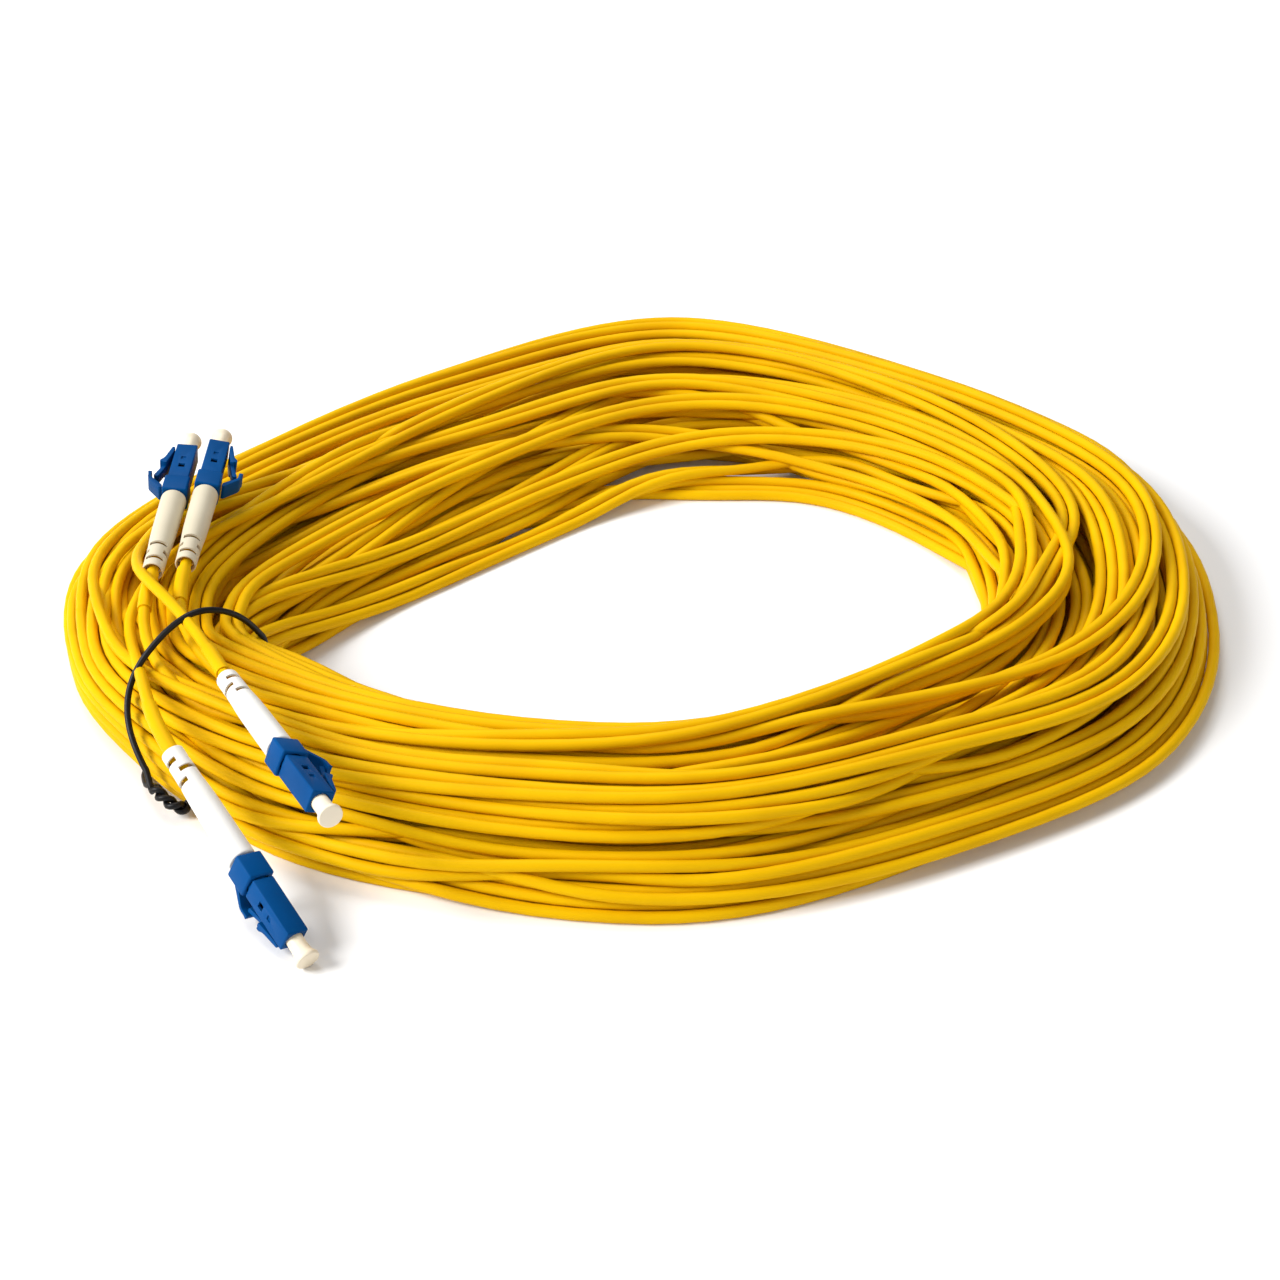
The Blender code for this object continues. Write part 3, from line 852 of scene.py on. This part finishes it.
def spring_mesh():
    steps = SPRING_TURNS * SPRING_STEPS_PER_TURN
    angle = 2 * math.pi * np.arange(steps + 1)[:, None] / SPRING_STEPS_PER_TURN
    outward = np.hstack([0 * angle, np.cos(angle), np.sin(angle)])
    onward = np.hstack([0 * angle, -np.sin(angle), np.cos(angle)])
    centre = SPRING_R * outward
    centre[:, 0] = np.linspace(*SPRING_SPAN, steps + 1)
    pitch = (SPRING_SPAN[1] - SPRING_SPAN[0]) / SPRING_TURNS / (2 * math.pi * SPRING_R)
    heading = (onward + (pitch, 0.0, 0.0)) / math.hypot(1.0, pitch)
    side = np.cross(heading, outward)
    around = 2 * math.pi * np.arange(SPRING_SIDES) / SPRING_SIDES
    rings = [centre + SPRING_WIRE_R * (outward * math.cos(a) + side * math.sin(a)) for a in around]
    points = np.stack(rings, 1).reshape(-1, 3) * MM
    corners = [(i, (i + 1) % SPRING_SIDES) for i in range(SPRING_SIDES)]
    faces = [
        (row + i, row + j, row + j + SPRING_SIDES, row + i + SPRING_SIDES)
        for row in range(0, steps * SPRING_SIDES, SPRING_SIDES)
        for i, j in corners
    ]
    faces.append(tuple(range(SPRING_SIDES))[::-1])
    faces.append(tuple(range(steps * SPRING_SIDES, (steps + 1) * SPRING_SIDES)))
    mesh = bpy.data.meshes.new("spring_wire")
    mesh.from_pydata(points.tolist(), [], faces)
    bm = bmesh.new()
    bm.from_mesh(mesh)
    bmesh.ops.recalc_face_normals(bm, faces=bm.faces)
    bm.to_mesh(mesh)
    bm.free()
    mesh.polygons.foreach_set("use_smooth", [True] * len(mesh.polygons))
    return mesh


# Fine pieces: name, mesh, material, the body they ride on, the CAD node they stand for, and a material
# slot name that nothing reads
FINE_PIECES = (
    ("boot_moulding", boot_mesh(), WHITE, MAIN_BODY, "boot", "boot_white"),
    ("rear_case", rear_case_mesh(), BLUE, MAIN_BODY, "rear_body", "housing_blue"),
    ("front_case", front_case_mesh(), BLUE, MAIN_BODY, "front_housing", "housing_blue"),
    ("latch_moulding", latch_mesh(), BLUE, "latch_blade", "latch", "housing_blue"),
    ("trigger_moulding", trigger_mesh(), BLUE, "trigger_arm", "trigger", "housing_blue"),
    ("cap_moulding", cap_mesh(), IVORY, "cap", "dust_cap", "cap_ivory"),
    ("spring_wire", spring_mesh(), STEEL, MAIN_BODY, "spring", "steel"),
)
CAD_FINISHES = {
    "crimp_sleeve": STEEL,
    "back_post": NICKEL,
    "ferrule_flange": NICKEL,
    "ferrule": ZIRCONIA,
    "buffered_fibre": BUFFER,
}


def plug_matrix(key):
    tail, turn = PLUGS[key]
    roll, pitch, yaw = (math.radians(angle) for angle in turn)
    return Matrix.Translation(Vector(to_scene(tail))) @ Euler((roll, -pitch, yaw)).to_matrix().to_4x4()


for key in KEYS:
    for name, mesh, material, body, node, finish in FINE_PIECES:
        piece = bpy.data.objects.new(f"{name}_{key}", mesh.copy())
        piece.data.transform(plug_matrix(key))
        # The A and B boots take the white rubber with painted shade and a painted yellow reflection
        piece.data.materials.append(BOOT_WHITE_PAINTED_SHADE if name == "boot_moulding" and key in "ab" else material)
        bpy.context.collection.objects.link(piece)
        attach(piece, body if body == MAIN_BODY else f"{body}_{key}")
        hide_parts(f"{node}_{key}")
        if name == "spring_wire":
            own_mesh(piece)
    for node, material in CAD_FINISHES.items():
        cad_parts[f"{node}_{key}"].material_slots[0].material = material

# ---------------------------------------------------------------------------------------------------
# Cords
# ---------------------------------------------------------------------------------------------------

routes = jacket_routes()
for number, (route, (first, last)) in enumerate(zip(routes, JACKETS), 1):
    points = to_scene(route)
    cord = cord_object(f"jacket_{number}", points, JACKET_D * MM, YELLOW, 3)
    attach(cord, MAIN_BODY)
    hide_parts("leg_" + first, "leg_" + last, *(["coil"] if number == 1 else []))
    for key, along in ((first, route), (last, route[::-1])):
        reach = JACKET_END_IN_BOOT + SLEEVE_LENGTHS[key]
        covered = along[lengths_along(along) < reach]
        covered = smooth_route(covered[lengths_along(covered) > SLEEVE_START_IN_BOOT], 1.0)
        sleeve = cord_object(f"sleeve_{key}", to_scene(covered), SLEEVE_D * MM, YELLOW, 6)
        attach(sleeve, MAIN_BODY)

# ---------------------------------------------------------------------------------------------------
# Twist tie
# ---------------------------------------------------------------------------------------------------

TIE_WIRE_D = 1.3
TIE_TWISTS = 1.7
TIE_TWIST_R = 0.72

# The tie's loop, once round the bundle and the legs from its knot over the top and back under (mm)
TIE_ROUTE = (
    (-94.2, -43.2, 5.0),
    (-97.4, -39.0, 8.4),
    (-100.2, -33.6, 12.8),
    (-100.6, -26.4, 17.2),
    (-97.6, -22.8, 21.6),
    (-93.6, -19.6, 25.0),
    (-89.2, -16.2, 27.6),
    (-85.0, -12.4, 25.8),
    (-81.6, -9.0, 22.6),
    (-79.2, -6.4, 18.6),
    (-77.4, -4.4, 13.6),
    (-76.8, -3.8, 8.6),
    (-77.2, -4.4, 3.6),
    (-80.4, -8.0, 1.0),
    (-86.4, -14.8, 0.8),
    (-92.6, -22.0, 0.8),
    (-97.4, -29.4, 0.9),
    (-98.2, -36.4, 1.4),
    (-95.0, -42.2, 3.0),
)
# The knot: where its twisted ends run from the loop (mm)
KNOT_ROUTE = (
    (-94.0, -43.4, 4.2),
    (-92.4, -45.4, 3.9),
    (-90.2, -46.9, 3.1),
    (-88.3, -46.9, 2.2),
    (-87.9, -45.4, 1.9),
)


def clear_of_jackets(points, radius, rounds=60):
    """Moves a wire's points out until it lies on the jackets and not in them, and keeps it smooth."""
    jackets = np.vstack(routes)
    jackets = jackets[np.abs(jackets - points.mean(0)).max(1) < 60.0]
    middle = points.mean(0)
    clear = JACKET_R + radius
    ends = points[[0, -1]].copy()
    for _ in range(rounds):
        apart = points[:, None] - jackets[None]
        distance = np.linalg.norm(apart, axis=2)
        short = np.maximum(clear - distance, 0.0).max(1)
        outward = points - middle
        outward /= np.linalg.norm(outward, axis=1)[:, None]
        points = points + 0.5 * short[:, None] * outward
        free = (short == 0.0)[1:-1, None]
        points[1:-1] += 0.25 * ((points[:-2] + points[2:]) / 2 - points[1:-1]) * np.where(free, 1.0, 0.4)
        points[:, 2] = np.maximum(points[:, 2], radius)
        points[[0, -1]] = ends
    return points


def twisted(points, radius, turns, start):
    """A strand that winds round a line of points at a radius, from an angle at its start (mm)."""
    along = np.linspace(0.0, 1.0, len(points))
    heading = np.gradient(points, axis=0)
    side = np.cross(heading, (0.0, 0.0, 1.0))
    side /= np.linalg.norm(side, axis=1)[:, None]
    up = np.cross(side, heading)
    up /= np.linalg.norm(up, axis=1)[:, None]
    angle = (start + 2 * math.pi * turns * along)[:, None]
    return points + radius * (side * np.cos(angle) + up * np.sin(angle))


loop = clear_of_jackets(smooth_route(TIE_ROUTE, 1.0), TIE_WIRE_D / 2)
knot = smooth_route(KNOT_ROUTE, 0.35)
first_end = twisted(knot, TIE_TWIST_R, TIE_TWISTS, 0.0)
second_end = twisted(knot, TIE_TWIST_R, TIE_TWISTS, math.pi)
tie_line = smooth_route(np.vstack([first_end[::-1], loop[3:-3], second_end]), 0.4)
tie_line[:, 2] = np.maximum(tie_line[:, 2], TIE_WIRE_D / 2)
tie = cord_object("tie_wire", to_scene(tie_line), TIE_WIRE_D * MM, BLACK, 3)
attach(tie, MAIN_BODY)
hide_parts("twist_tie")

# ---------------------------------------------------------------------------------------------------
# Studio
# ---------------------------------------------------------------------------------------------------

CAMERA_AT = (79.786, -410.0, 292.6)
CAMERA_TILT = 56.5
CAMERA_LENS = 69.5
FLOOR_HALF = 12.0
WORLD_STRENGTH = 0.29
COIL_MIDDLE = (0.08, 0.04, 0.0)

# Each softbox: name, where it stands (m), its side (m) and its power (W)
SOFTBOXES = (
    ("key", (-1.85, -0.5, 1.4), 1.1, 74.0),
    ("top", (-0.3, 1.2, 2.0), 1.3, 26.0),
    ("fill", (1.5, -1.5, 1.0), 1.2, 9.0),
)

camera = bpy.data.objects.new("camera", bpy.data.cameras.new("camera"))
camera.data.lens = CAMERA_LENS
camera.data.sensor_width = 36.0
camera.location = Vector(CAMERA_AT) * MM
camera.rotation_euler = (math.radians(CAMERA_TILT), 0.0, 0.0)
bpy.context.collection.objects.link(camera)
bpy.context.scene.camera = camera


def add_floor():
    bm = bmesh.new()
    bmesh.ops.create_grid(bm, x_segments=4, y_segments=4, size=FLOOR_HALF)
    mesh = bpy.data.meshes.new("floor")
    bm.to_mesh(mesh)
    bm.free()
    material = bpy.data.materials.new("floor_white")
    material.use_nodes = True
    shader = material.node_tree.nodes["Principled BSDF"]
    shader.inputs["Base Color"].default_value = (0.93, 0.93, 0.93, 1.0)
    shader.inputs["Roughness"].default_value = 0.9
    shader.inputs["Specular IOR Level"].default_value = 0.0
    mesh.materials.append(material)
    floor = bpy.data.objects.new("floor", mesh)
    bpy.context.collection.objects.link(floor)
    return floor


def add_softbox(name, at, size, power):
    """A square area light that faces the middle of the coil."""
    light = bpy.data.lights.new(name, "AREA")
    light.shape = "SQUARE"
    light.size = size
    light.energy = power
    lamp = bpy.data.objects.new(name, light)
    lamp.location = at
    facing = Vector(COIL_MIDDLE) - Vector(at)
    lamp.rotation_euler = facing.to_track_quat("-Z", "Y").to_euler()
    bpy.context.collection.objects.link(lamp)


add_floor()
for softbox in SOFTBOXES:
    add_softbox(*softbox)
world = bpy.data.worlds.new("studio")
bpy.context.scene.world = world
world.use_nodes = True
world.node_tree.nodes["Background"].inputs["Color"].default_value = (1.0, 1.0, 1.0, 1.0)
world.node_tree.nodes["Background"].inputs["Strength"].default_value = WORLD_STRENGTH
bpy.context.scene.view_settings.view_transform = "Standard"
